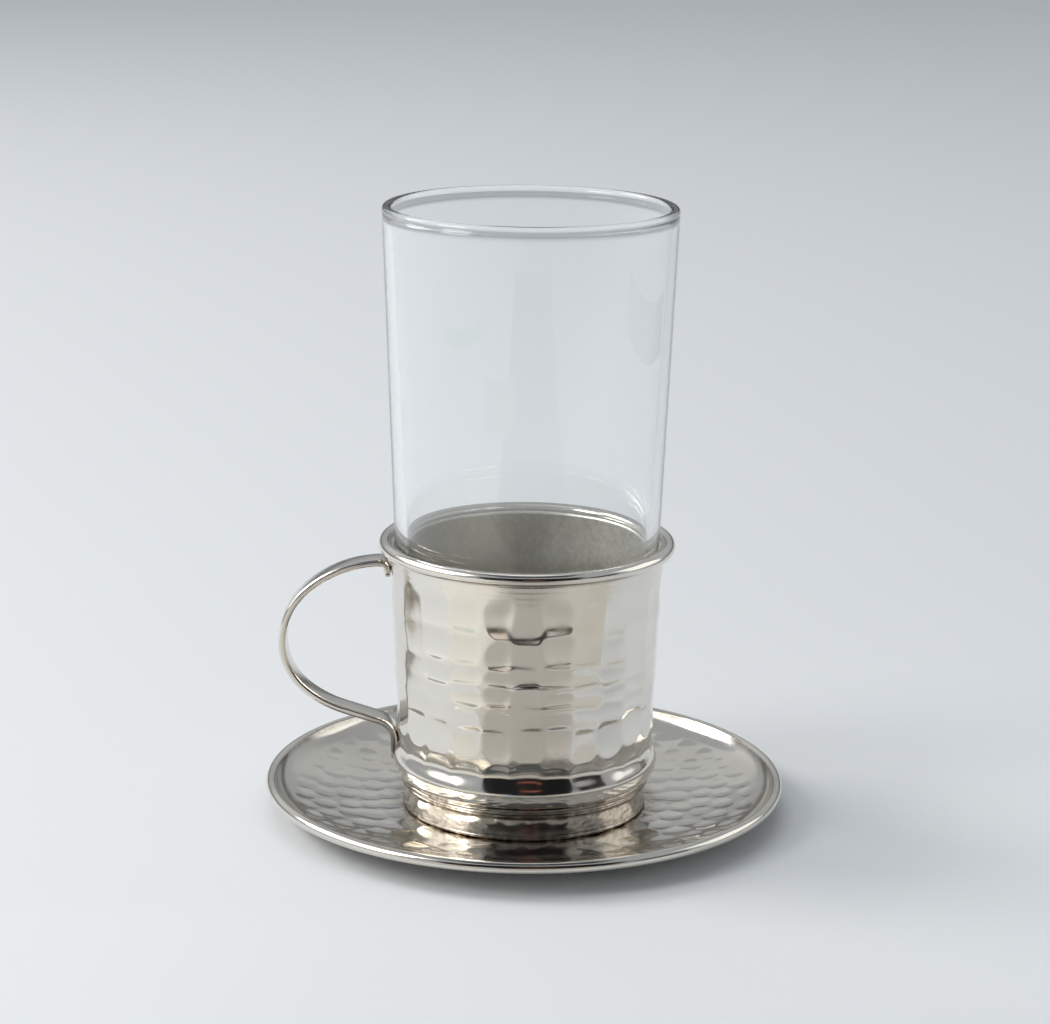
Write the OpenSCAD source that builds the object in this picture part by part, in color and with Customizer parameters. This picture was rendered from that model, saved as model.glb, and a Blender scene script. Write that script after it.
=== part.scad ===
// Tea glass in a hammered metal holder with a strip handle, on a hammered saucer.
// Millimetres. Z is up, the table is z = 0, and the common axis of the round pieces is the Z axis.
// The handle points along -X.

/* [Saucer] */
// Diameter over the rolled lip
saucer_d = 110; // [90:1:150]
// Height of the top of the lip above the table
saucer_h = 7.2; // [6:0.1:12]
// Sheet thickness of the saucer
saucer_t = 1; // [0.6:0.1:1.6]
// How far the flat middle reaches past the foot of the holder
flat_margin = 2.15; // [0.5:0.05:6]
// Width of the smooth rim, from the crease to the outer edge of the lip
rim_w = 5.3; // [4:0.1:9]
// Height of the top of the lip above the crease
rim_rise = 3; // [2.4:0.1:5]
// Diameter of the wire-like roll along the lip
lip_roll_d = 2.4; // [1.6:0.1:3]

/* [Glass] */
// Outer diameter just under the rim
glass_d = 61; // [45:0.5:80]
// Outer diameter at the bottom
glass_base_d = 51.4; // [40:0.2:62]
// Height of the glass
glass_h = 122.2; // [80:0.1:170]
// Wall thickness at the rim
wall_top = 1.8; // [1.2:0.1:2.6]
// Wall thickness just above the inner bottom
wall_low = 3; // [1.8:0.1:4]
// Thickness of the bottom of the glass
base_t = 6; // [3:0.5:10]
// Outer rounding of the bottom edge
base_round = 3; // [1:0.5:5]
// Inner rounding between wall and bottom
floor_round = 5; // [2:0.5:8]

/* [Holder] */
// Height of the holder over its rolled rim
holder_h = 58.2; // [40:0.2:80]
// Sheet thickness of the holder
holder_t = 0.8; // [0.5:0.1:1.2]
// Clearance between the glass and the inside of the holder
glass_gap = 0.25; // [0.2:0.05:0.6]
// Diameter of the roll along the rim
rim_roll_d = 2.7; // [1.8:0.1:3.6]
// Height of the straight foot
foot_h = 5; // [4:0.5:7]
// How far the foot is set in from the body line
foot_in = 0.9; // [0.4:0.1:2]
// Height of the step from the foot out to the body
step_h = 2.6; // [1.6:0.1:3.4]
// Height of the widest part above the foot's own bottom
belly_h = 10; // [9:0.2:16]
// How far the widest part stands out past the straight body line
belly_out = 1.2; // [0.6:0.1:2.5]
// Height of the narrowest part of the body
waist_h = 20; // [18:0.5:28]
// Height of the hollow under the bottom plate
floor_lift = 5; // [4:0.1:6]

/* [Handle] */
// Width of the strip
strip_w = 6; // [4:0.5:9]
// Thickness of the strip
strip_t = 1.5; // [1:0.1:2.2]
// How far the strip stands out from the body, to its outer face
handle_out = 23.5; // [18:0.1:30]
// Clear height between the rim roll and the top of the strip
rim_drop = 2.2; // [1:0.1:6]
// Bend radius of the upper half, near the outermost point
bend_up_tight = 15.2; // [12:0.2:17]
// Bend radius of the upper half, near the rim
bend_up_wide = 24.6; // [18:0.2:28]
// Bend radius of the lower half, near the outermost point
bend_low_tight = 13.6; // [10:0.2:15]
// Bend radius of the lower half, near the body
bend_low_wide = 21.8; // [16:0.2:26]
// Length of the upper tab that lies against the body
tab_up = 1.4; // [1:0.1:3]
// Length of the lower tab that lies against the body
tab_low = 4.2; // [2:0.1:6]
// Height of the lower tab's end above the foot's own bottom
tab_end_h = 9.6; // [8:0.2:14]

/* [Hidden] */
$fn = 96;
steps = 10;          // straight pieces in one curved stretch of an outline
few = 5;             // straight pieces in one small rounding
many = 30;           // straight pieces in an almost full circle
small_fn = 48;       // pieces in the small circles of the rolls and the lip

// Heights of what stands on what
holder_z = saucer_t;
glass_z = holder_z + floor_lift + holder_t;

// Outer radius of the glass at height h above its own bottom, and of a straight body that
// clears the glass at height h above the foot's bottom
function glass_r(h) = glass_base_d / 2 + (glass_d - glass_base_d) / 2 * h / glass_h;
function fit_r(h) = glass_r(h - floor_lift - holder_t) + glass_gap + holder_t;
foot_r = fit_r(foot_h) - foot_in;

// Turns of the handle's bends, in degrees
turn_tight = 48;     // on either side of the outermost point
rise_up = 6;         // slope at which the upper end meets the body
fall_low = 18;       // slope at which the lower end comes in
tab_bend_up = 1.6;   // radius of the bend into the upper tab
tab_bend_low = 4.4;  // radius of the bend into the lower tab
tab_seat = 0.2;      // how deep a tab's flat face would reach into the round body

// Straight lengths between the bends and the tabs
level_up = 1.5;
level_low = 7.8;

// A point at angle a on a circle, and the points of an arc from angle a to angle b
function on_circle(c, r, a) = c + r * [cos(a), sin(a)];
function arc(c, r, a, b, n = steps) = [for (i = [0:n]) on_circle(c, r, a + (b - a) * i / n)];
function ease(t) = (1 - cos(180 * t)) / 2;
function unit(v) = v / norm(v);
function reversed(p) = [for (i = [len(p) - 1:-1:0]) p[i]];

// The outline moved sideways by d, to the right of its direction of travel
function along(p, i) = unit(p[min(i + 1, len(p) - 1)] - p[max(i - 1, 0)]);
function beside(p, d) = [for (i = [0:len(p) - 1]) let (a = along(p, i)) p[i] + d * [a.y, -a.x]];

// ---- saucer ----

roll_open = 150;     // angle at which the rim's sheet runs into the roll, from straight outwards
lip_c = [(saucer_d - lip_roll_d) / 2, saucer_h - lip_roll_d / 2];
flat_r = foot_r + flat_margin;

// The dished part is an arc that leaves the flat middle level and reaches the crease
dish_w = saucer_d / 2 - rim_w - flat_r;
dish_rise = saucer_h - rim_rise - saucer_t;
dish_r = (dish_w * dish_w + dish_rise * dish_rise) / (2 * dish_rise);
dish_end = asin(dish_w / dish_r);

// One side of the sheet, out to the crease, depth below the upper side
function dish_line(depth) = concat(
    [[0, saucer_t - depth]],
    arc([flat_r, saucer_t + dish_r], dish_r + depth, -90, dish_end - 90));

module saucer() {
    roll = arc(lip_c, lip_roll_d / 2, roll_open, -roll_open, many);
    color("silver") rotate_extrude()
        polygon(concat(dish_line(0), roll, reversed(dish_line(saucer_t))));
}

// ---- glass ----

module glass() {
    tilt = atan((glass_d - glass_base_d) / 2 / glass_h);
    lip = [glass_r(glass_h - wall_top / 2) - wall_top / 2, glass_h - wall_top / 2];
    floor_in = glass_r(base_t + floor_round) - wall_low;
    outer = concat([[0, 0]],
        arc([glass_r(base_round) - base_round, base_round], base_round, -90, -tilt, few),
        [lip + [wall_top / 2, 0]]);
    inner = concat([[0, base_t]],
        arc([floor_in - floor_round, base_t + floor_round], floor_round, -90, -tilt, few),
        [lip - [wall_top / 2, 0]]);
    color("azure", 0.35) translate([0, 0, glass_z]) rotate_extrude() {
        polygon(concat(outer, reversed(inner)));
        translate(lip) circle(d = wall_top, $fn = small_fn);
    }
}

// ---- holder ----

rim_c_h = holder_h - rim_roll_d / 2;
neck_h = rim_c_h - rim_roll_d / 2;

step_top = foot_h + step_h;
function swell(h) =
    h < belly_h ? sqrt(1 - pow((belly_h - h) / (belly_h - step_top), 2)) :
    h < waist_h ? 1 - ease((h - belly_h) / (waist_h - belly_h)) : 0;
function body_r(h) = fit_r(h) + belly_out * swell(h);
function step_r(h) = foot_r + (fit_r(step_top) - foot_r) * (h - foot_h) / step_h;

roll_seat = 0.3;     // how far the roll bites into the top of the body
rim_c = [body_r(neck_h) + rim_roll_d / 2 - roll_seat, rim_c_h];

function body_line() = concat(
    [[foot_r, 0], [foot_r, foot_h], [step_r(step_top), step_top]],
    [for (i = [1:steps]) let (h = step_top + (belly_h - step_top) * i / steps) [body_r(h), h]],
    [for (i = [1:steps]) let (h = belly_h + (waist_h - belly_h) * i / steps) [body_r(h), h]],
    [[body_r(rim_c_h), rim_c_h]]);

// The body's inside follows its outside at one sheet thickness, down to the bottom plate
plate_top = floor_lift + holder_t;
function inner_line() = concat(
    [[step_r(plate_top) - holder_t, plate_top]],
    [for (p = body_line()) if (p.y > plate_top) p - [holder_t, 0]]);

module holder_blank() {
    translate([0, 0, holder_z]) rotate_extrude() {
        polygon(concat([[0, 0]], body_line(), [[0, rim_c_h]]));
        translate(rim_c) circle(d = rim_roll_d, $fn = small_fn);
    }
}

module holder() {
    bottom = [[0, floor_lift], [foot_r - holder_t, floor_lift], [foot_r - holder_t, 0]];
    color("silver") translate([0, 0, holder_z]) rotate_extrude() {
        polygon(concat(bottom, body_line(), reversed(inner_line()), [[0, plate_top]]));
        translate(rim_c) circle(d = rim_roll_d, $fn = small_fn);
    }
}

// ---- handle ----

// The strip is followed along the middle of its thickness. A stretch is [radius, turn to the
// right in degrees], or [0, length] where it is straight. A state is [x, height, heading].
function step_on(s, g) =
    g[0] == 0 ? [s.x + g[1] * cos(s.z), s.y + g[1] * sin(s.z), s.z]
    : let (r = sign(g[1]) * g[0], h = s.z - g[1])
        [s.x + r * (sin(s.z) - sin(h)), s.y - r * (cos(s.z) - cos(h)), h];
function walk(s, run, i = 0) = i == len(run) ? s : walk(step_on(s, run[i]), run, i + 1);
function stretch(s, g) =
    let (n = g[0] == 0 ? 1 : steps)
        [for (i = [1:n]) let (q = step_on(s, [g[0], g[1] * i / n])) [q.x, q.y]];
function trace(s, run, i = 0) =
    i == len(run) ? [] : concat(stretch(s, run[i]), trace(step_on(s, run[i]), run, i + 1));

top_bends = [[bend_up_tight, turn_tight], [bend_up_wide, 90 - turn_tight - rise_up]];
low_bends = [[bend_low_tight, -turn_tight], [bend_low_wide, turn_tight + fall_low - 90]];

// Height of the outermost point, set so that the upper end passes just under the rim roll
top_mid = holder_z + neck_h - rim_drop - strip_t / 2;
side_h = top_mid - walk([0, 0, 90], top_bends).y;
side_x = -(body_r(top_mid - holder_z) + handle_out - strip_t / 2);

// Distance from the axis at which a tab's middle runs, for a tab around height h
function tab_x(h) = -(body_r(h - holder_z) + strip_t / 2 - tab_seat);

top_run = concat(top_bends, [[0, level_up], [tab_bend_up, 90 + rise_up], [0, tab_up]]);
low_run = concat(low_bends, [[0, level_low], [tab_bend_low, 90 - fall_low], [0, tab_low]]);
low_tip = walk([side_x, side_h, -90], low_run);

// Both halves are drawn out or pressed together, in height so that the lower tab ends at its
// height, and in length so that each tab lies against the wall
draw_out = (top_mid - holder_z - tab_end_h) / (top_mid - low_tip.y);
function fitted(p, wall_x) =
    let (reach = (wall_x - side_x) / (p[len(p) - 1].x - side_x))
        [for (q = p) [side_x + (q.x - side_x) * reach, top_mid + (q.y - top_mid) * draw_out]];

module handle() {
    upper = fitted(trace([side_x, side_h, 90], top_run), tab_x(top_mid));
    lower = fitted(trace([side_x, side_h, -90], low_run), tab_x(holder_z + tab_end_h + tab_low));
    outermost = [side_x, top_mid + (side_h - top_mid) * draw_out];
    middle = concat(reversed(lower), [outermost], upper);
    color("silver") difference() {
        rotate([90, 0, 0]) linear_extrude(strip_w, center = true)
            polygon(concat(beside(middle, strip_t / 2), reversed(beside(middle, -strip_t / 2))));
        holder_blank();
    }
}

saucer();
holder();
handle();
glass();
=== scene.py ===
import math

import bpy
import numpy as np
from mathutils import Matrix, Vector


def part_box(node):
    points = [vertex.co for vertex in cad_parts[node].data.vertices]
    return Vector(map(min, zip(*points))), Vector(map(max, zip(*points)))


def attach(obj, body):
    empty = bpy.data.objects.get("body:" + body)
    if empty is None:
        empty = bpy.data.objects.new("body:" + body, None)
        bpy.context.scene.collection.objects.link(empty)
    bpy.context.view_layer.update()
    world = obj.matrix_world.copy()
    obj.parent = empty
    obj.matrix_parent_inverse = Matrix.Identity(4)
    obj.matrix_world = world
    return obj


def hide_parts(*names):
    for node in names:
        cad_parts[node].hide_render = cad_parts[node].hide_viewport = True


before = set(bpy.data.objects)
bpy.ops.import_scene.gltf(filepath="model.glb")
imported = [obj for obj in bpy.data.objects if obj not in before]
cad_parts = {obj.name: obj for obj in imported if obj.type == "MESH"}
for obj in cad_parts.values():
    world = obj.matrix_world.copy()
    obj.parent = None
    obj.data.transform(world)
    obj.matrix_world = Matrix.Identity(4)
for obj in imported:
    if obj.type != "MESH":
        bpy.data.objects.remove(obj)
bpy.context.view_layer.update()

# Lengths below are in millimetres, as in the CAD model; M turns them into metres.
M = 0.001
TAU = 2 * math.pi
SEGMENTS = 480                   # round the hammered pieces
GLASS_SEGMENTS = 256


# ---------------------------------------------------------------- sizes from the frame

def box_mm(node):
    lo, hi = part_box(node)
    return np.array(lo) / M, np.array(hi) / M


saucer_lo, saucer_hi = box_mm("saucer")
holder_lo, holder_hi = box_mm("holder")
handle_lo = box_mm("handle")[0]
glass_lo, glass_hi = box_mm("glass")

# Saucer
SHEET = 1.0                      # thickness of its sheet
RIM_W = 5.3                      # smooth rim, from the crease to the edge of the lip
RIM_RISE = 3.0                   # lip above the crease
RIM_HOLLOW = 0.25                # how far the smooth rim sags between crease and lip
LIP_D = 2.4                      # roll along the lip
FLAT_MARGIN = 2.15               # flat middle past the holder's foot
HAMMER_IN, HAMMER_OUT = 10.0, 49.5   # radii of the rings of marks
HAMMER_FADE = (47.0, 49.6)       # the marks fade out between these radii
UNDER_DENT = 0.8                 # share of a mark that shows underneath
saucer_r = min(-saucer_lo[0], saucer_hi[0])
saucer_top = saucer_hi[2]

# Glass
GLASS_TOP_D = 61.0
GLASS_BASE_D = 51.4
WALL_TOP = 1.8                   # wall at the lip
WALL_LOW = 3.0                   # wall at the bottom
BASE_T = 6.0
BASE_ROUND = 3.0                 # outer edge of the base
FLOOR_ROUND = 5.0                # inner edge of the floor
LIP_BEAD = 1.02                  # radius of the thickened lip's inner half
glass_h = glass_hi[2] - glass_lo[2]

# Holder
WALL = 0.8
GAP = 0.25                       # between the glass and the holder's inside
ROLL_D = 2.7                     # roll along the rim
FOOT_H = 5.0
FOOT_IN = 0.9                    # foot set in from the body line
STEP_H = 2.6                     # step from the foot out to the body
BELLY_H = 10.0                   # height of the belly's widest point
BELLY_OUT = 1.2                  # how far the belly stands out
SHOULDER_H = 14.5                # where the belly meets the wall; the CAD model's is softer
LIFT = 5.0                       # hollow under the bottom plate
ROLL_SEAT = 0.3                  # how far the roll sits into the wall
STEP_BEADS = 2                   # fine beads in the step
FOOT_BEAD = 0.42                 # radius of the bead along the foot's edge
BAND_HOLLOW = 0.32               # how hollow the foot's band is
holder_z = holder_lo[2]
holder_h = holder_hi[2] - holder_z
BODY_R = 28.0                    # mean radius of the hammered body
COLUMNS = 26                     # columns of hammer marks around it
RINGS = (9.5, 16.5, 24.5, 29.0, 33.2, 37.3, 44.0, 51.5)   # heights where the marks meet
LOW_RING = 16.5                  # the marks above this height slope most
MARKS_FROM = (11.0, 17.0)        # the marks begin between these heights
MARKS_TO = (48.5, 54.0)          # and end between these
SUNK = 0.12                      # the whole pattern lies this far under the plain wall
INSIDE_DENT = 0.2                # most that a mark shows on the inside
CRISP = 2.8                      # how crisp the ridges between the marks are
LATHE_WAVE = 0.010               # height of the turned lines above the marks

# Handle
STRIP_W = 6.0
STRIP_T = 1.5
RIM_DROP = 2.2                   # upper tab under the rim roll
UP_TIGHT, UP_WIDE = 15.2, 24.6   # upper half: bend radii, a tight one and then a wide one
UP_TURN, UP_MORE = 48, 36        # and how far each turns, in degrees
LOW_TIGHT, LOW_WIDE = 13.6, 21.8   # lower half: the same
LOW_TURN, LOW_MORE = 48, 24
UP_RUN, LOW_RUN = 1.5, 7.8       # straight stretches between bends and tabs
UP_BEND, LOW_BEND = 1.6, 4.4     # bend radii at the tabs
TAB_UP, TAB_LOW = 1.4, 4.2       # straight ends that lie on the wall
TAB_SET = 0.2                    # how far a tab's flat face is set into the wall
STRIP_EDGE = 0.55                # rounding of the strip's edges
HANDLE_STEP = 0.45               # distance between its cross-sections
TAB_SINK = 0.35                  # most that any of it reaches into the wall


# ---------------------------------------------------------------- mesh helpers

def add_mesh(name, verts, faces):
    """A smooth-shaded mesh object from points in millimetres."""
    mesh = bpy.data.meshes.new(name)
    mesh.from_pydata((np.asarray(verts) * M).tolist(), [], faces)
    mesh.validate()
    mesh.polygons.foreach_set("use_smooth", [True] * len(mesh.polygons))
    mesh.update()
    obj = bpy.data.objects.new(name, mesh)
    bpy.context.collection.objects.link(obj)
    return obj


def smooth_step(x, a, b):
    """0 up to a, 1 from b on, and a soft rise between."""
    t = np.clip((x - a) / (b - a), 0, 1)
    return t * t * (3 - 2 * t)


def resample(points, step):
    """Points at nearly even distances along a line of points."""
    points = np.asarray(points, float)
    d = np.r_[0, np.cumsum(np.linalg.norm(np.diff(points, axis=0), axis=1))]
    n = max(2, int(round(d[-1] / step)) + 1)
    s = np.linspace(0, d[-1], n)
    return np.stack([np.interp(s, d, points[:, i]) for i in range(2)], axis=1)


def arc(centre, radius, a, b, n):
    """Points on a circle from angle a to angle b, in degrees."""
    t = np.radians(np.linspace(a, b, n))
    return np.stack([centre[0] + radius * np.cos(t), centre[1] + radius * np.sin(t)], axis=1)


def revolve(name, profile, segments, relief=None):
    """A closed solid of revolution. The profile runs from the axis and back to the axis, and
    relief(r, z, angle, i) pushes its points outwards along the profile's normal."""
    p = np.asarray(profile, float)
    along = np.gradient(p, axis=0)
    along /= np.maximum(np.linalg.norm(along, axis=1, keepdims=True), 1e-9)
    out = np.stack([along[:, 1], -along[:, 0]], axis=1)
    angle = np.arange(segments) * TAU / segments
    inner = p[1:-1]
    rr = np.repeat(inner[:, :1], segments, axis=1)
    zz = np.repeat(inner[:, 1:], segments, axis=1)
    aa = np.repeat(angle[None, :], len(inner), axis=0)
    if relief is not None:
        push = relief(rr, zz, aa, np.arange(1, len(p) - 1))
        rr = rr + push * out[1:-1, :1]
        zz = zz + push * out[1:-1, 1:]
    ring = np.stack([rr * np.cos(aa), rr * np.sin(aa), zz], axis=2).reshape(-1, 3)
    verts = np.vstack([[0, 0, p[0, 1]], ring, [0, 0, p[-1, 1]]])
    rows = len(inner)
    j = np.arange(segments)
    k = (j + 1) % segments
    faces = [(0, 1 + b, 1 + a) for a, b in zip(j, k)]
    for i in range(rows - 1):
        a = 1 + i * segments
        b = a + segments
        faces += np.stack([a + j, a + k, b + k, b + j], axis=1).tolist()
    last = 1 + (rows - 1) * segments
    end = len(verts) - 1
    faces += [(end, last + a, last + b) for a, b in zip(j, k)]
    return add_mesh(name, verts, faces)


def points_mm(obj):
    """A mesh object's points in millimetres."""
    co = np.empty(len(obj.data.vertices) * 3)
    obj.data.vertices.foreach_get("co", co)
    return co.reshape(-1, 3) / M


def paint(obj, name, values):
    """A number for each vertex, which a material reads."""
    layer = obj.data.attributes.new(name, "FLOAT", "POINT")
    layer.data.foreach_set("value", np.asarray(values, np.float32))


# ---------------------------------------------------------------- hammer marks

REACH = 2.6                      # a mark counts out to this many times its half size


def hammered(s, t, around, marks, sharp):
    """How far a surface is beaten in at arc lengths s and heights t. Each mark is (s, t, half
    width, half height, depth, tilt, lean): a shallow dish that may slope up or sideways, and where
    dishes meet there is a softly rounded ridge."""
    total = np.full(s.shape, 1e-9)
    level = np.zeros(s.shape)
    for cs, ct, w, h, depth, tilt, lean in marks:
        ds = (s - cs + around / 2) % around - around / 2
        dt = t - ct
        near = (np.abs(ds) < REACH * w) & (np.abs(dt) < REACH * h)
        x, y = ds[near] / w, dt[near] / h
        q = x * x + y * y
        weight = np.exp(-sharp * q)
        level[near] += weight * (depth * (1 - q) + tilt * y + lean * x)
        total[near] += weight
    return level / total


def holder_marks():
    """Columns of marks whose ends line up in rings, each column a little off true."""
    rng = np.random.default_rng(7)
    pitch = TAU * BODY_R / COLUMNS
    marks = []
    for c in range(COLUMNS):
        middle = (c + 0.5 + rng.normal(0, 0.06)) * pitch
        lean = rng.normal(0, 0.10)
        for low, high in zip(RINGS[:-1], RINGS[1:]):
            tall = high - low
            low_ring = low == LOW_RING
            marks.append((middle + rng.normal(0, 0.35), (low + high) / 2 + rng.normal(0, 0.6),
                          pitch * 0.55, tall * 0.55,
                          rng.uniform(0.20, 0.30) * min(1, tall / 6),
                          rng.normal(0.30 if low_ring else -0.06, 0.06),
                          lean + rng.normal(0, 0.03)))
    return marks


# ---------------------------------------------------------------- holder

def glass_r(h):
    """Outer radius of the glass at a height above its bottom."""
    return GLASS_BASE_D / 2 + (GLASS_TOP_D - GLASS_BASE_D) / 2 * h / glass_h


def fit_r(h):
    """Outer radius of a straight wall that fits round the glass."""
    return glass_r(h - LIFT - WALL) + GAP + WALL


step_top = FOOT_H + STEP_H
foot_r = fit_r(FOOT_H) - FOOT_IN


def swell(h):
    """The belly's shape: 0 at the step and on the wall, 1 at its widest."""
    h = np.asarray(h, float)
    low = np.sqrt(np.clip(1 - ((BELLY_H - h) / (BELLY_H - step_top)) ** 2, 0, 1))
    rise = np.clip((h - BELLY_H) / (SHOULDER_H - BELLY_H), 0, 1)
    high = (1 + np.cos(math.pi * rise)) / 2
    return np.where(h < BELLY_H, low, high)


def body_r(h):
    """Outer radius of the holder above its step, without marks."""
    return fit_r(h) + BELLY_OUT * swell(h)


def holder_profile():
    """From the bottom plate's middle, round the outside, over the roll and down the inside. Also
    returns how many points lie before the groove under the roll, and how many in the two."""
    rim_c_h = holder_h - ROLL_D / 2
    neck_h = rim_c_h - ROLL_D / 2
    rim_c = (body_r(neck_h) + ROLL_D / 2 - ROLL_SEAT, rim_c_h)
    ring_r = foot_r - WALL
    bottom = resample([(0, LIFT), (ring_r - 0.1, LIFT)], 2.0)
    inner_foot = [(ring_r, LIFT - 0.1), (ring_r, LIFT / 2), (ring_r, 0.4), (ring_r + 0.1, 0.1)]
    bottom = np.vstack([bottom, inner_foot])
    # The foot: a small bead at the bottom, a slightly hollow band, then the stepped beads
    # under the belly
    bead = arc((foot_r - FOOT_BEAD, FOOT_BEAD), FOOT_BEAD, -90, 60, 7)
    band_h = np.linspace(1.0, 4.6, 9)
    hollow = 0.12 + BAND_HOLLOW * np.sin(math.pi * (band_h - 0.8) / 4.0)
    band = np.stack([foot_r - hollow, band_h], axis=1)
    steps = []
    for i in range(STEP_BEADS):
        h = FOOT_H - 0.1 + (i + 0.5) * STEP_H / STEP_BEADS
        r = foot_r + 0.02 + FOOT_IN * (i + 0.35) / STEP_BEADS
        half = STEP_H / STEP_BEADS / 2
        steps.append(arc((r - half * 0.5, h), half * 0.98, -62, 62, 6))
    h = step_top + (BELLY_H - step_top) * (1 - np.cos(np.linspace(0.25, math.pi / 2, 12)))
    belly = np.stack([body_r(h), h], axis=1)
    h = np.linspace(BELLY_H, neck_h - 0.3, 132)[1:]
    wall = np.stack([body_r(h), h], axis=1)
    groove = [(body_r(neck_h) - 0.12, neck_h + 0.15)]
    roll = arc(rim_c, ROLL_D / 2, -105, 200, 30)
    inside_h = np.linspace(rim_c_h + 0.2, step_top + 0.6, 46)
    inside = np.stack([body_r(inside_h) - WALL, inside_h], axis=1)
    plate_top = LIFT + WALL
    plate = [(foot_r - WALL + 0.55, step_top - 0.5), (foot_r - WALL + 0.2, plate_top + 0.3),
             (foot_r - WALL - 0.3, plate_top), (12, plate_top), (0, plate_top)]
    p = np.vstack([bottom, bead, band, *steps, belly, wall, groove, roll, inside, plate])
    p[:, 1] += holder_z
    outside = sum(len(x) for x in (bottom, bead, band, *steps, belly, wall))
    return p, outside, len(groove) + len(roll)


def make_holder():
    """The cup with its hammer marks, which show faintly on the inside as well."""
    profile, outside, rolled = holder_profile()
    marks = holder_marks()

    def relief(r, z, angle, i):
        h = z - holder_z
        on = smooth_step(h, *MARKS_FROM) * (1 - smooth_step(h, *MARKS_TO))
        dents = hammered(angle * BODY_R, h, TAU * BODY_R, marks, CRISP)
        dents = np.clip(dents + SUNK, 0, None) * on
        lathe = LATHE_WAVE * np.sin(h * 5.2) * smooth_step(h, 50, 53)
        outer = (i < outside)[:, None]
        inner = (i > outside + rolled)[:, None]
        through = np.minimum(dents * 0.4, INSIDE_DENT)
        return np.where(outer, -dents + lathe, np.where(inner, through, 0.0))

    obj = revolve("holder_hammered", profile, SEGMENTS, relief)
    paint_tarnish_and_shade(obj)
    return obj


def paint_tarnish_and_shade(obj):
    """Tarnish along the step, over the foot, at its lower edge and under the roll. The inside is
    duller and a little stained, with painted shade that darkens it more towards +x."""
    co = points_mm(obj)
    h = co[:, 2] - holder_z
    step = 0.95 * smooth_step(h, 4.2, 5.0) * (1 - smooth_step(h, 7.2, 7.7))
    foot = 0.58 * (1 - smooth_step(h, 4.0, 5.0)) + 0.8 * np.exp(-((h - 0.1) / 0.5) ** 2)
    under_roll = np.exp(-((h - (holder_h - ROLL_D - 0.1)) / 0.35) ** 2)
    r = np.hypot(co[:, 0], co[:, 1])
    inside = (r < body_r(h) - 0.74) & (h < holder_h - ROLL_D * 0.6) & (h > LIFT + 0.3)
    # Painted shade: the inside gets darker towards +x, on top of an even stain
    stain_and_shade = 0.30 + 0.25 * np.clip(co[:, 0] / BODY_R, -0.4, 1)
    paint(obj, "tarnish_and_shade", np.clip(np.where(inside, stain_and_shade, step + foot + under_roll), 0, 1))
    paint(obj, "inside", inside)


# ---------------------------------------------------------------- saucer

def saucer_profile():
    """From the middle of the underside, round the lip and back over the top. Also returns how many
    points lie underneath, and how many before the hammered dish."""
    flat_r = foot_r + FLAT_MARGIN
    width = saucer_r - RIM_W - flat_r
    rise = saucer_top - RIM_RISE - SHEET
    dish_r = (width * width + rise * rise) / (2 * rise)
    end = math.degrees(math.asin(width / dish_r))
    centre = (flat_r, SHEET + dish_r)
    lip_c = (saucer_r - LIP_D / 2, saucer_top - LIP_D / 2)
    under = np.vstack([[(0, 0)], [(r, 0) for r in np.linspace(2, flat_r - 0.5, 14)],
                       arc(centre, dish_r + SHEET, -90, end - 90, 40)])
    roll = arc(lip_c, LIP_D / 2, -150, 150, 40)
    # The smooth rim rises from the crease in a slightly hollow curve
    crease = np.array([saucer_r - RIM_W, saucer_top - RIM_RISE])
    t = np.linspace(0, 1, 10)[1:-1, None]
    top = roll[-1]
    rim = crease + (top - crease) * t + RIM_HOLLOW * np.array([[1, -1]]) * np.sin(math.pi * t)
    dish = arc(centre, dish_r, end - 90, -90, 56)
    flat = [(r, SHEET) for r in np.linspace(flat_r - 0.6, 2, 36)] + [(0, SHEET)]
    p = np.vstack([under, roll, rim[::-1], dish, flat])
    return p, len(under), len(under) + len(roll) + len(rim)


def saucer_marks():
    """Marks in rings. Each mark: radius and angle of its middle, size and depth."""
    rng = np.random.default_rng(11)
    marks = []
    r = HAMMER_IN
    while r < HAMMER_OUT:
        n = int(round(TAU * r / rng.uniform(6.0, 6.8)))
        start = rng.uniform(0, TAU)
        for i in range(n):
            a = start + TAU * i / n + rng.normal(0, 0.5 / r)
            marks.append((r + rng.normal(0, 0.45), a,
                          rng.uniform(2.8, 3.6), rng.uniform(0.11, 0.25)))
        r += rng.uniform(4.3, 5.0)
    return marks


def make_saucer():
    """The dish with its hammer marks, and tarnish round the holder's foot and along the lip."""
    profile, under_n, top_n = saucer_profile()
    marks = saucer_marks()

    def relief(r, z, angle, i):
        x, y = r * np.cos(angle), r * np.sin(angle)
        total = np.full(r.shape, 1e-6)
        level = np.zeros(r.shape)
        for mr, ma, size, depth in marks:
            mx, my = mr * math.cos(ma), mr * math.sin(ma)
            rows = np.abs(r[:, 0] - mr) < 2.2 * size
            q = ((x[rows] - mx) ** 2 + (y[rows] - my) ** 2) / size ** 2
            weight = np.exp(-q / 0.3)
            level[rows] += weight * depth * (1 - q)
            total[rows] += weight
        pits = np.clip(level / total, 0, None)
        on = 1 - smooth_step(r, *HAMMER_FADE)
        upper = (i >= top_n)[:, None]
        lower = (i < under_n)[:, None] * smooth_step(z, 0.15, 0.6)
        return np.where(upper, -pits * on, lower * pits * on * UNDER_DENT)

    obj = revolve("saucer_hammered", profile, SEGMENTS, relief)
    co = points_mm(obj)
    r = np.hypot(co[:, 0], co[:, 1])
    ring = np.exp(-((r - foot_r) / 2.6) ** 2) * (co[:, 2] > 0.4)
    seam = np.exp(-((r - (saucer_r - 2.3)) / 0.3) ** 2) * (co[:, 2] > saucer_top - 1.6)
    paint(obj, "tarnish_and_shade", np.clip(0.7 * ring + 0.6 * seam, 0, 1))
    return obj


# ---------------------------------------------------------------- glass

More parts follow.
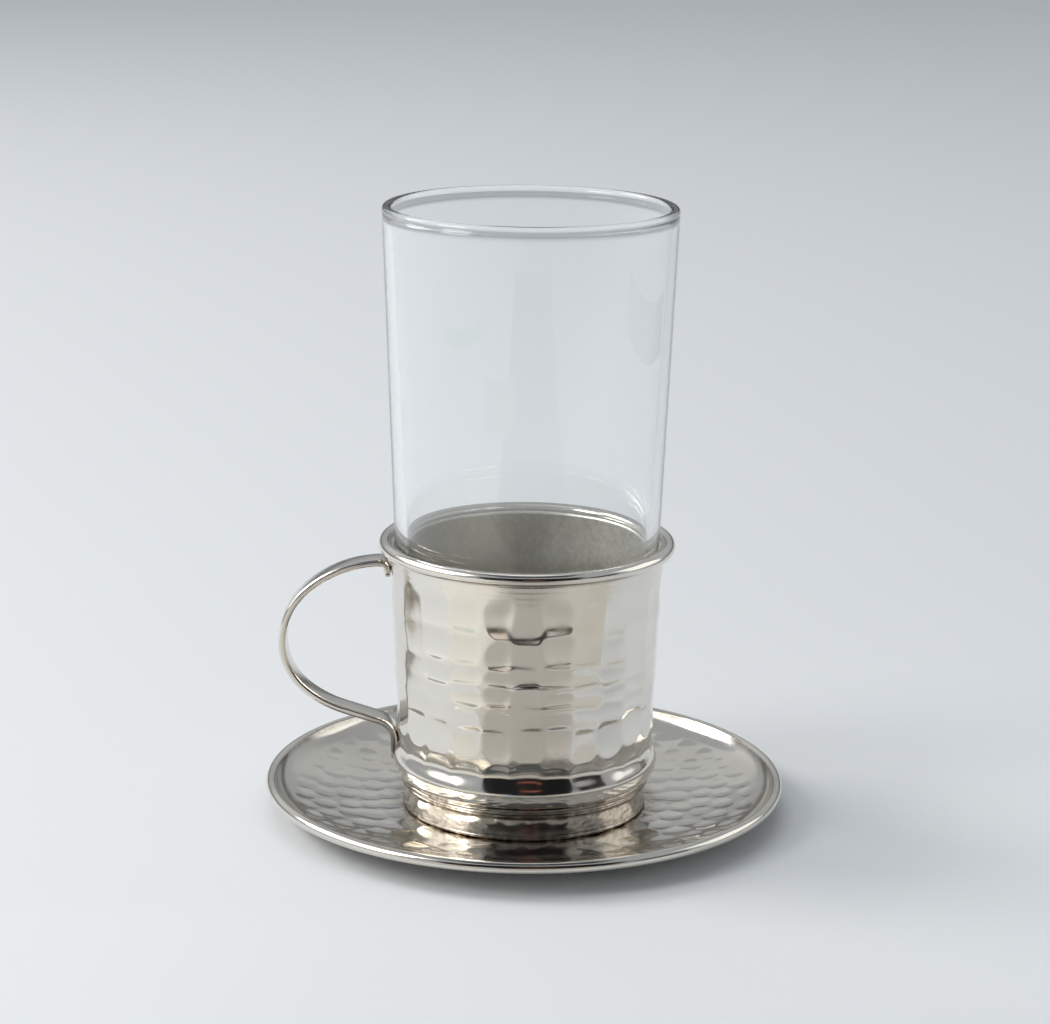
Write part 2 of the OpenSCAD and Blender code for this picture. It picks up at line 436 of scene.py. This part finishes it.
def make_glass():
    """One closed shell of glass with a rounded lip, a rounded base and a thick bottom."""
    tilt = math.degrees(math.atan((GLASS_TOP_D - GLASS_BASE_D) / 2 / glass_h))
    lip_r = WALL_TOP / 2
    lip = (glass_r(glass_h - lip_r) - lip_r, glass_h - lip_r)
    floor_in = glass_r(BASE_T + FLOOR_ROUND) - WALL_LOW
    # Underneath it is slightly hollow, and it stands on a ring
    under = [(0, 0.35), (10, 0.3), (16, 0.12), (19, 0.0), (21, 0.0)]
    edge = arc((glass_r(BASE_ROUND) - BASE_ROUND, BASE_ROUND), BASE_ROUND, -86, -tilt, 12)
    h = np.linspace(BASE_ROUND, glass_h - lip_r - 0.6, 90)[1:]
    outer = np.stack([glass_r(h), h], axis=1)
    bead = np.vstack([arc(lip, lip_r, -tilt, 88, 12),
                      arc((lip[0] - LIP_BEAD + lip_r, glass_h - LIP_BEAD), LIP_BEAD, 92, 222, 18)])
    inner_low = np.array([floor_in, BASE_T + FLOOR_ROUND])
    inner_top = np.array([lip[0] - lip_r + 0.02, glass_h - 2.0 * LIP_BEAD])
    t = np.linspace(0, 1, 90)[1:-1, None]
    inner = inner_top + (inner_low - inner_top) * t
    floor = arc((floor_in - FLOOR_ROUND, BASE_T + FLOOR_ROUND), FLOOR_ROUND, -tilt, -88, 14)
    middle = [(r, BASE_T - 0.25 * (1 - r / 20)) for r in (17, 13, 9, 4, 0)]
    p = np.vstack([under, edge, outer, bead, inner, floor, middle])
    p[:, 1] += glass_lo[2]
    obj = revolve("glass_clear", p, GLASS_SEGMENTS)
    z = points_mm(obj)[:, 2]
    paint(obj, "lip", smooth_step(z, glass_hi[2] - 2.6, glass_hi[2] - 1.8))
    return obj


# ---------------------------------------------------------------- handle

def walk(heading, run):
    """Points along a run of (radius, turn to the left in degrees), or (length, 0) if straight."""
    x, z = 0.0, 0.0
    points = [(x, z)]
    for size, turn in run:
        n = max(6, int(abs(turn) / 3)) if turn else max(2, int(size / 0.3))
        step = 2 * size * math.sin(math.radians(abs(turn) / n / 2)) if turn else size / n
        for _ in range(n):
            heading += turn / n / 2
            x += step * math.cos(math.radians(heading))
            z += step * math.sin(math.radians(heading))
            heading += turn / n / 2
            points.append((x, z))
    return np.array(points)


def wall_x(z):
    """Where the middle of a tab's thickness lies on the left of the holder."""
    return -(float(body_r(z - holder_z)) + STRIP_T / 2 - TAB_SET)


def handle_line():
    """The strip's middle line in x and z, from the upper tab to the lower one."""
    upper = walk(90, [(UP_TIGHT, -UP_TURN), (UP_WIDE, -UP_MORE), (UP_RUN, 0),
                      (UP_BEND, UP_TURN + UP_MORE - 180), (TAB_UP, 0)])
    lower = walk(-90, [(LOW_TIGHT, LOW_TURN), (LOW_WIDE, LOW_MORE), (LOW_RUN, 0),
                       (LOW_BEND, -LOW_TURN - LOW_MORE), (TAB_LOW, 0)])
    top_mid = holder_z + holder_h - ROLL_D - RIM_DROP - STRIP_T / 2
    side_x = handle_lo[0] + STRIP_T / 2
    tight = math.sin(math.radians(UP_TURN))
    level = math.sin(math.radians(UP_TURN + UP_MORE))
    side_h = top_mid - (UP_TIGHT * tight + UP_WIDE * (level - tight))
    low_z = handle_lo[2]
    # Both halves are stretched a little so that their tabs meet the wall
    upper[:, 0] *= (wall_x(top_mid) - side_x) / upper[-1, 0]
    lower[:, 0] *= (wall_x(low_z + TAB_LOW) - side_x) / lower[-1, 0]
    lower[:, 1] *= (low_z - side_h) / lower[-1, 1]
    line = np.vstack([upper[::-1], lower[1:]]) + np.array([side_x, side_h])
    line = resample(line, HANDLE_STEP)
    for _ in range(3):
        line[1:-1] = (line[:-2] + 2 * line[1:-1] + line[2:]) / 4
    return line


def strip_section():
    """A flat strip whose edges are rounded over: width and thickness of each point."""
    middle = (STRIP_W / 2 - STRIP_EDGE, STRIP_T / 2 - STRIP_EDGE)
    return np.vstack([arc((cx * middle[0], cy * middle[1]), STRIP_EDGE, a, a + 90, 7)
                      for cx, cy, a in ((1, 1, 0), (-1, 1, 90), (-1, -1, 180), (1, -1, 270))])


def strip_points(line, section):
    """The section along the line: thinner and narrower at its ends, a little uneven between."""
    along = np.gradient(line, axis=0)
    along /= np.linalg.norm(along, axis=1, keepdims=True)
    side = np.stack([along[:, 1], -along[:, 0]], axis=1)
    n = len(line)
    verts = []
    for i, s in enumerate(np.linspace(0, 1, n)):
        ends = min(i, n - 1 - i) * HANDLE_STEP      # distance from the nearer end
        round_off = 1 - 0.25 * max(0.0, 1 - ends / 1.2) ** 2
        thin = 1 - 0.22 * max(0.0, 1 - ends / 3.0)
        wave = 1 + 0.010 * math.sin(17 * s) + 0.006 * math.sin(41 * s + 1)
        w = section[:, 0] * round_off * wave
        t = section[:, 1] * thin
        pos = line[i] + side[i] * t[:, None]
        verts.append(np.stack([pos[:, 0], w, pos[:, 1]], axis=1))
    return np.vstack(verts)


def make_handle():
    """The strip swept along its line, with its tabs laid on the round wall."""
    line, section = handle_line(), strip_section()
    verts = strip_points(line, section)
    n, m = len(line), len(section)
    faces = []
    for i in range(n - 1):
        for j in range(m):
            k = (j + 1) % m
            faces.append((i * m + j, (i + 1) * m + j, (i + 1) * m + k, i * m + k))
    faces.append(tuple(range(m)))
    faces.append(tuple(range(n * m - 1, (n - 1) * m - 1, -1)))
    # Nothing reaches deeper than a little into the sheet
    r = np.hypot(verts[:, 0], verts[:, 1])
    least = body_r(verts[:, 2] - holder_z) - TAB_SINK
    grow = np.maximum(1, least / r)
    verts[:, 0] *= grow
    verts[:, 1] *= grow
    verts[:, 1] = np.clip(verts[:, 1], -STRIP_W / 2, STRIP_W / 2)
    obj = add_mesh("handle_strip", verts, faces)
    # Tarnish round the lower tab
    low_tab = np.exp(-((verts[:, 2] - handle_lo[2]) / 3.2) ** 2)
    near_wall = np.clip((verts[:, 0] + 33) / 4, 0, 1)
    paint(obj, "tarnish_and_shade", low_tab * near_wall)
    return obj


# ---------------------------------------------------------------- materials

class Nodes:
    """A short way to wire a material's nodes."""

    def __init__(self, name):
        self.take(bpy.data.materials.new(name))

    @classmethod
    def of(cls, mat):
        nodes = cls.__new__(cls)
        nodes.take(mat)
        return nodes

    def take(self, mat):
        mat.use_nodes = True
        self.mat = mat
        self.tree = mat.node_tree
        self.shader = self.tree.nodes["Principled BSDF"]
        self.out = self.tree.nodes["Material Output"]

    def add(self, kind, **values):
        node = self.tree.nodes.new(kind)
        for key, value in values.items():
            if key in node.inputs:
                node.inputs[key].default_value = value
            else:
                setattr(node, key, value)
        return node

    def link(self, a, b):
        self.tree.links.new(a, b)

    def noise(self, scale, detail, stretch=(1, 1, 1)):
        place = self.add("ShaderNodeTexCoord")
        move = self.add("ShaderNodeMapping")
        move.inputs["Scale"].default_value = stretch
        self.link(place.outputs["Object"], move.inputs["Vector"])
        tex = self.add("ShaderNodeTexNoise", Scale=scale, Detail=detail)
        self.link(move.outputs["Vector"], tex.inputs["Vector"])
        return tex.outputs["Fac"]

    def ramp(self, source, low, high, a, b):
        node = self.add("ShaderNodeValToRGB")
        node.color_ramp.elements[0].position = low
        node.color_ramp.elements[0].color = a
        node.color_ramp.elements[1].position = high
        node.color_ramp.elements[1].color = b
        self.link(source, node.inputs["Fac"])
        return node.outputs["Color"]

    def spread(self, source, a, b, low, high):
        """The source's range from low to high, spread out from a to b."""
        node = self.add("ShaderNodeMapRange")
        node.inputs["From Min"].default_value = low
        node.inputs["From Max"].default_value = high
        node.inputs["To Min"].default_value = a
        node.inputs["To Max"].default_value = b
        self.link(source, node.inputs["Value"])
        return node.outputs["Result"]


INSIDE_ROUGH = 0.35              # how much rougher the holder's tinned inside is


def metal(name, colour, tarnish_and_shade_colour, rough, brushed, stretch):
    """Plated metal: warm and darker where it is tarnished and where shade is painted, with fine
    scratches and cloudy polish.
    """
    n = Nodes(name)
    n.shader.inputs["Metallic"].default_value = 1.0
    # Colour: the painted tarnish and painted shade times a speckle, and a faint cloud all over
    cloud = n.noise(60, 4)
    tarnish_and_shade = n.add("ShaderNodeAttribute", attribute_name="tarnish_and_shade")
    speck = n.noise(900, 2)
    amount = n.add("ShaderNodeMath", operation="MULTIPLY_ADD")
    n.link(tarnish_and_shade.outputs["Fac"], amount.inputs[0])
    n.link(n.spread(speck, 0.5, 1.0, 0.35, 0.65), amount.inputs[1])
    n.link(n.spread(cloud, 0.0, 0.16, 0.45, 0.75), amount.inputs[2])
    mix = n.add("ShaderNodeMix", data_type="RGBA")
    n.link(amount.outputs["Value"], mix.inputs["Factor"])
    mix.inputs["A"].default_value = (*colour, 1)
    mix.inputs["B"].default_value = (*tarnish_and_shade_colour, 1)
    n.link(mix.outputs["Result"], n.shader.inputs["Base Color"])
    # Roughness: scratches, and more of it on the holder's inside
    scratches = n.noise(brushed, 3, stretch)
    inside = n.add("ShaderNodeAttribute", attribute_name="inside")
    dull = n.add("ShaderNodeMath", operation="MULTIPLY_ADD")
    n.link(inside.outputs["Fac"], dull.inputs[0])
    dull.inputs[1].default_value = INSIDE_ROUGH
    n.link(n.spread(scratches, rough * 0.75, rough * 1.35, 0.3, 0.7), dull.inputs[2])
    n.link(dull.outputs["Value"], n.shader.inputs["Roughness"])
    bump = n.add("ShaderNodeBump", Strength=0.10, Distance=0.00006)
    n.link(n.noise(brushed * 1.7, 3), bump.inputs["Height"])
    n.link(bump.outputs["Normal"], n.shader.inputs["Normal"])
    return n.mat


LIP_ROUGH = 0.09                 # how much rougher the glass is at its lip


def clear_glass():
    """Clear soda glass that lets lamplight through, with the faint unevenness of pressed glass."""
    n = Nodes("clear_glass")
    n.shader.inputs["Base Color"].default_value = (0.985, 0.995, 0.995, 1)
    n.shader.inputs["Transmission Weight"].default_value = 1.0
    n.shader.inputs["IOR"].default_value = 1.47
    lip = n.add("ShaderNodeAttribute", attribute_name="lip")
    dull = n.add("ShaderNodeMath", operation="MULTIPLY_ADD")
    n.link(lip.outputs["Fac"], dull.inputs[0])
    dull.inputs[1].default_value = LIP_ROUGH
    n.link(n.spread(n.noise(25, 2), 0.0, 0.012, 0.3, 0.7), dull.inputs[2])
    n.link(dull.outputs["Value"], n.shader.inputs["Roughness"])
    bump = n.add("ShaderNodeBump", Strength=0.08, Distance=0.0002)
    n.link(n.noise(38, 1, (1, 1, 0.12)), bump.inputs["Height"])
    n.link(bump.outputs["Normal"], n.shader.inputs["Normal"])
    # Lamplight passes straight through, so that the shadow is as pale as a glass's
    path = n.add("ShaderNodeLightPath")
    clear = n.add("ShaderNodeBsdfTransparent")
    clear.inputs["Color"].default_value = (0.93, 0.95, 0.95, 1)
    mix = n.add("ShaderNodeMixShader")
    n.link(path.outputs["Is Shadow Ray"], mix.inputs[0])
    n.link(n.shader.outputs["BSDF"], mix.inputs[1])
    n.link(clear.outputs["BSDF"], mix.inputs[2])
    n.link(mix.outputs["Shader"], n.out.inputs["Surface"])
    return n.mat


def plain(name, colour, rough=0.9, glow=0.0):
    """One matt colour, which may glow by itself."""
    n = Nodes(name)
    n.shader.inputs["Base Color"].default_value = (*colour, 1)
    n.shader.inputs["Roughness"].default_value = rough
    n.shader.inputs["Specular IOR Level"].default_value = 0.1
    if glow:
        n.shader.inputs["Emission Color"].default_value = (*colour, 1)
        n.shader.inputs["Emission Strength"].default_value = glow
    return n.mat


# ---------------------------------------------------------------- stage, lights, camera

def flat_corners(x0, x1, y0, y1, z):
    """Corners of a level rectangle, in metres."""
    return [(x0, y0, z), (x1, y0, z), (x1, y1, z), (x0, y1, z)]


def quad(name, corners, mat):
    """One flat face, in metres."""
    mesh = bpy.data.meshes.new(name)
    mesh.from_pydata(corners, [], [(0, 1, 2, 3)])
    mesh.materials.append(mat)
    obj = bpy.data.objects.new(name, mesh)
    bpy.context.collection.objects.link(obj)
    return obj


def card(name, azimuth, elevation, wide, tall, distance, colour, glow):
    """A plain card, square to the line from the part, that only shiny surfaces see. Its direction,
    width and height are in degrees, and azimuth 0 is in front, towards the camera."""
    a, e = math.radians(azimuth), math.radians(elevation)
    way = Vector((math.sin(a) * math.cos(e), -math.cos(a) * math.cos(e), math.sin(e)))
    right = Vector((math.cos(a), math.sin(a), 0))
    up = right.cross(way)
    if up.z < 0:
        up = -up
    c = way * distance
    w = right * distance * math.tan(math.radians(wide / 2))
    h = up * distance * math.tan(math.radians(tall / 2))
    return only_shiny(quad(name, [c - w - h, c + w - h, c + w + h, c - w + h],
                           plain(name, colour, 1.0, glow)))


def near_card():
    """A glowing sheet on the table in front that only shiny surfaces see: a painted reflection of
    the lit table, brightest at its left and darker in the middle and towards the right.
    """
    n = Nodes("near_card")
    n.shader.inputs["Base Color"].default_value = (0, 0, 0, 1)
    n.shader.inputs["Specular IOR Level"].default_value = 0.0
    place = n.add("ShaderNodeTexCoord")
    parts = n.add("ShaderNodeSeparateXYZ")
    n.link(place.outputs["Object"], parts.inputs[0])
    across = n.spread(parts.outputs["X"], 0.0, 1.0, -0.20, 0.20)
    # Painted light in the glow: bright at the left where the lamps fall, darker in the middle and
    # towards the right
    colour = n.ramp(across, 0.0, 1.0, (0.95, 0.94, 0.91, 1), (0.60, 0.58, 0.54, 1))
    for position, value in ((0.30, 0.86), (0.42, 0.50), (0.58, 0.46), (0.70, 0.60)):
        stop = colour.node.color_ramp.elements.new(position)
        stop.color = (value, value * 0.985, value * 0.93, 1)
    n.link(colour, n.shader.inputs["Emission Color"])
    n.shader.inputs["Emission Strength"].default_value = 1.0
    return only_shiny(quad("near_card", flat_corners(-0.5, 0.5, -0.8, -0.062, 0.0006), n.mat))


def only_shiny(obj):
    """Makes a card that shows only as a reflection: not to the camera, not on the floor and not
    through the glass."""
    n = Nodes.of(obj.data.materials[0])
    path = n.add("ShaderNodeLightPath")
    through = n.add("ShaderNodeMath", operation="GREATER_THAN")
    n.link(path.outputs["Transmission Depth"], through.inputs[0])
    through.inputs[1].default_value = 0.5
    mix = n.add("ShaderNodeMixShader")
    n.link(through.outputs["Value"], mix.inputs[0])
    n.link(n.shader.outputs["BSDF"], mix.inputs[1])
    n.link(n.add("ShaderNodeBsdfTransparent").outputs["BSDF"], mix.inputs[2])
    n.link(mix.outputs["Shader"], n.out.inputs["Surface"])
    obj.visible_camera = False
    obj.visible_diffuse = False
    obj.visible_shadow = False
    obj.visible_transmission = False
    return obj


LAMP_COLOUR = (1.0, 0.985, 0.96)


def area(name, place, target, size, power):
    """A round lamp that points at a target. Metres and watts."""
    light = bpy.data.lights.new(name, "AREA")
    light.shape = "DISK"
    light.size = size
    light.energy = power
    light.color = LAMP_COLOUR
    obj = bpy.data.objects.new(name, light)
    obj.location = place
    obj.rotation_euler = (Vector(target) - Vector(place)).to_track_quat("-Z", "Y").to_euler()
    bpy.context.collection.objects.link(obj)
    return obj


def make_stage():
    """The floor, and cards that stand for the room seen in the metal. Each card: azimuth,
    elevation, width and height in degrees, distance in metres, colour and glow."""
    floor = quad("floor", flat_corners(-6, 6, -6, 6, 0), plain("floor", (0.80, 0.82, 0.84)))
    cards = [
        card("card_dark", 4, 21, 74, 48, 0.95, (0.012, 0.012, 0.014), 0.0),
        card("card_red", 6, 20, 14, 5, 0.94, (0.30, 0.10, 0.07), 0.25),
        card("card_dark_right", 60, 13, 26, 16, 0.97, (0.04, 0.033, 0.028), 0.0),
        card("card_left", -82, 34, 50, 40, 0.90, (1.0, 0.98, 0.94), 1.1),
        card("card_blue", -22, -0.5, 26, 7, 0.31, (0.10, 0.25, 0.62), 0.9),
        card("card_beige", -24, 1.5, 22, 3, 0.305, (0.55, 0.45, 0.36), 0.7),
        card("card_green", -52, -0.9, 30, 3.8, 0.41, (0.22, 0.42, 0.05), 0.8),
        card("card_brown", 104, -1, 46, 8, 0.42, (0.14, 0.10, 0.07), 0.0),
        card("card_right", 104, 26, 40, 34, 0.98, (0.90, 0.90, 0.88), 0.65),
        card("card_over", 10, 80, 40, 40, 1.20, (0.09, 0.10, 0.12), 0.0),
        card("card_back_low", 180, 8, 120, 8, 1.60, (0.25, 0.24, 0.22), 0.0),
        card("card_back_high", 180, 30, 100, 16, 1.60, (0.66, 0.66, 0.65), 0.15),
        near_card(),
        # A dark strip on the table in front that shows only in reflections: a painted dark
        # reflection of the table there
        only_shiny(quad("card_strip", flat_corners(-0.10, 0.13, -0.50, -0.20, 0.0012),
                        plain("card_strip", (0.035, 0.025, 0.02), 1.0))),
    ]


def make_light():
    """Pale surroundings, the main lamp behind at the left, one overhead that isn't seen in
    reflections, and a weak one low at the left."""
    world = bpy.data.worlds.new("studio")
    bpy.context.scene.world = world
    world.use_nodes = True
    back = world.node_tree.nodes["Background"]
    back.inputs["Color"].default_value = (0.86, 0.91, 0.96, 1)
    back.inputs["Strength"].default_value = 0.45
    area("key", (-1.45, 0.55, 1.15), (0, 0, 0.0), 0.9, 16.5)
    top = area("top", (-0.3, 0.4, 2.4), (0, 0.2, 0.05), 2.0, 8.8)
    top.visible_glossy = False
    area("left", (-0.55, -0.25, 0.45), (-0.25, -0.1, 0.0), 0.3, 1.4)


def make_camera():
    """At the photo's viewing angle: 600 mm in front and 216 mm up, looking 14 degrees down."""
    cam = bpy.data.cameras.new("camera")
    cam.sensor_width = 36
    cam.lens = 101.49
    cam.clip_start, cam.clip_end = 0.01, 20
    obj = bpy.data.objects.new("camera", cam)
    down, roll = 14.22, 0.70         # degrees
    turn = (Matrix.Rotation(math.radians(90 - down), 4, "X")
            @ Matrix.Rotation(math.radians(roll), 4, "Z"))
    obj.matrix_world = Matrix.Translation((-0.00049, -0.600, 0.2165)) @ turn
    bpy.context.collection.objects.link(obj)
    bpy.context.scene.camera = obj


# ---------------------------------------------------------------- the whole

make_camera()
make_stage()
make_light()

# Colour, colour of tarnish and painted shade, roughness, and how fine and how drawn out the
# scratches are
UPRIGHT, EVEN = (1, 1, 0.06), (1, 1, 1)
holder_silver = metal("holder_metal", (0.81, 0.775, 0.715), (0.26, 0.205, 0.15), 0.13, 420, UPRIGHT)
saucer_silver = metal("saucer_metal", (0.78, 0.745, 0.685), (0.28, 0.22, 0.16), 0.13, 380, EVEN)
handle_silver = metal("handle_metal", (0.78, 0.745, 0.69), (0.20, 0.13, 0.08), 0.15, 500, UPRIGHT)

made = (
    (make_saucer(), "saucer", "saucer_metal", saucer_silver),
    (make_holder(), "holder", "holder_metal", holder_silver),
    (make_handle(), "handle", "handle_metal", handle_silver),
    (make_glass(), "glass", "clear_glass", clear_glass()),
)
for piece, node, slot, mat in made:
    piece.data.materials.append(mat)
    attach(piece, "root")
    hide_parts(node)

scene = bpy.context.scene
scene.view_settings.view_transform = "Standard"
scene.view_settings.look = "None"
scene.cycles.max_bounces = 32
scene.cycles.transmission_bounces = 24
scene.cycles.glossy_bounces = 12
scene.cycles.transparent_max_bounces = 12

bpy.context.view_layer.update()
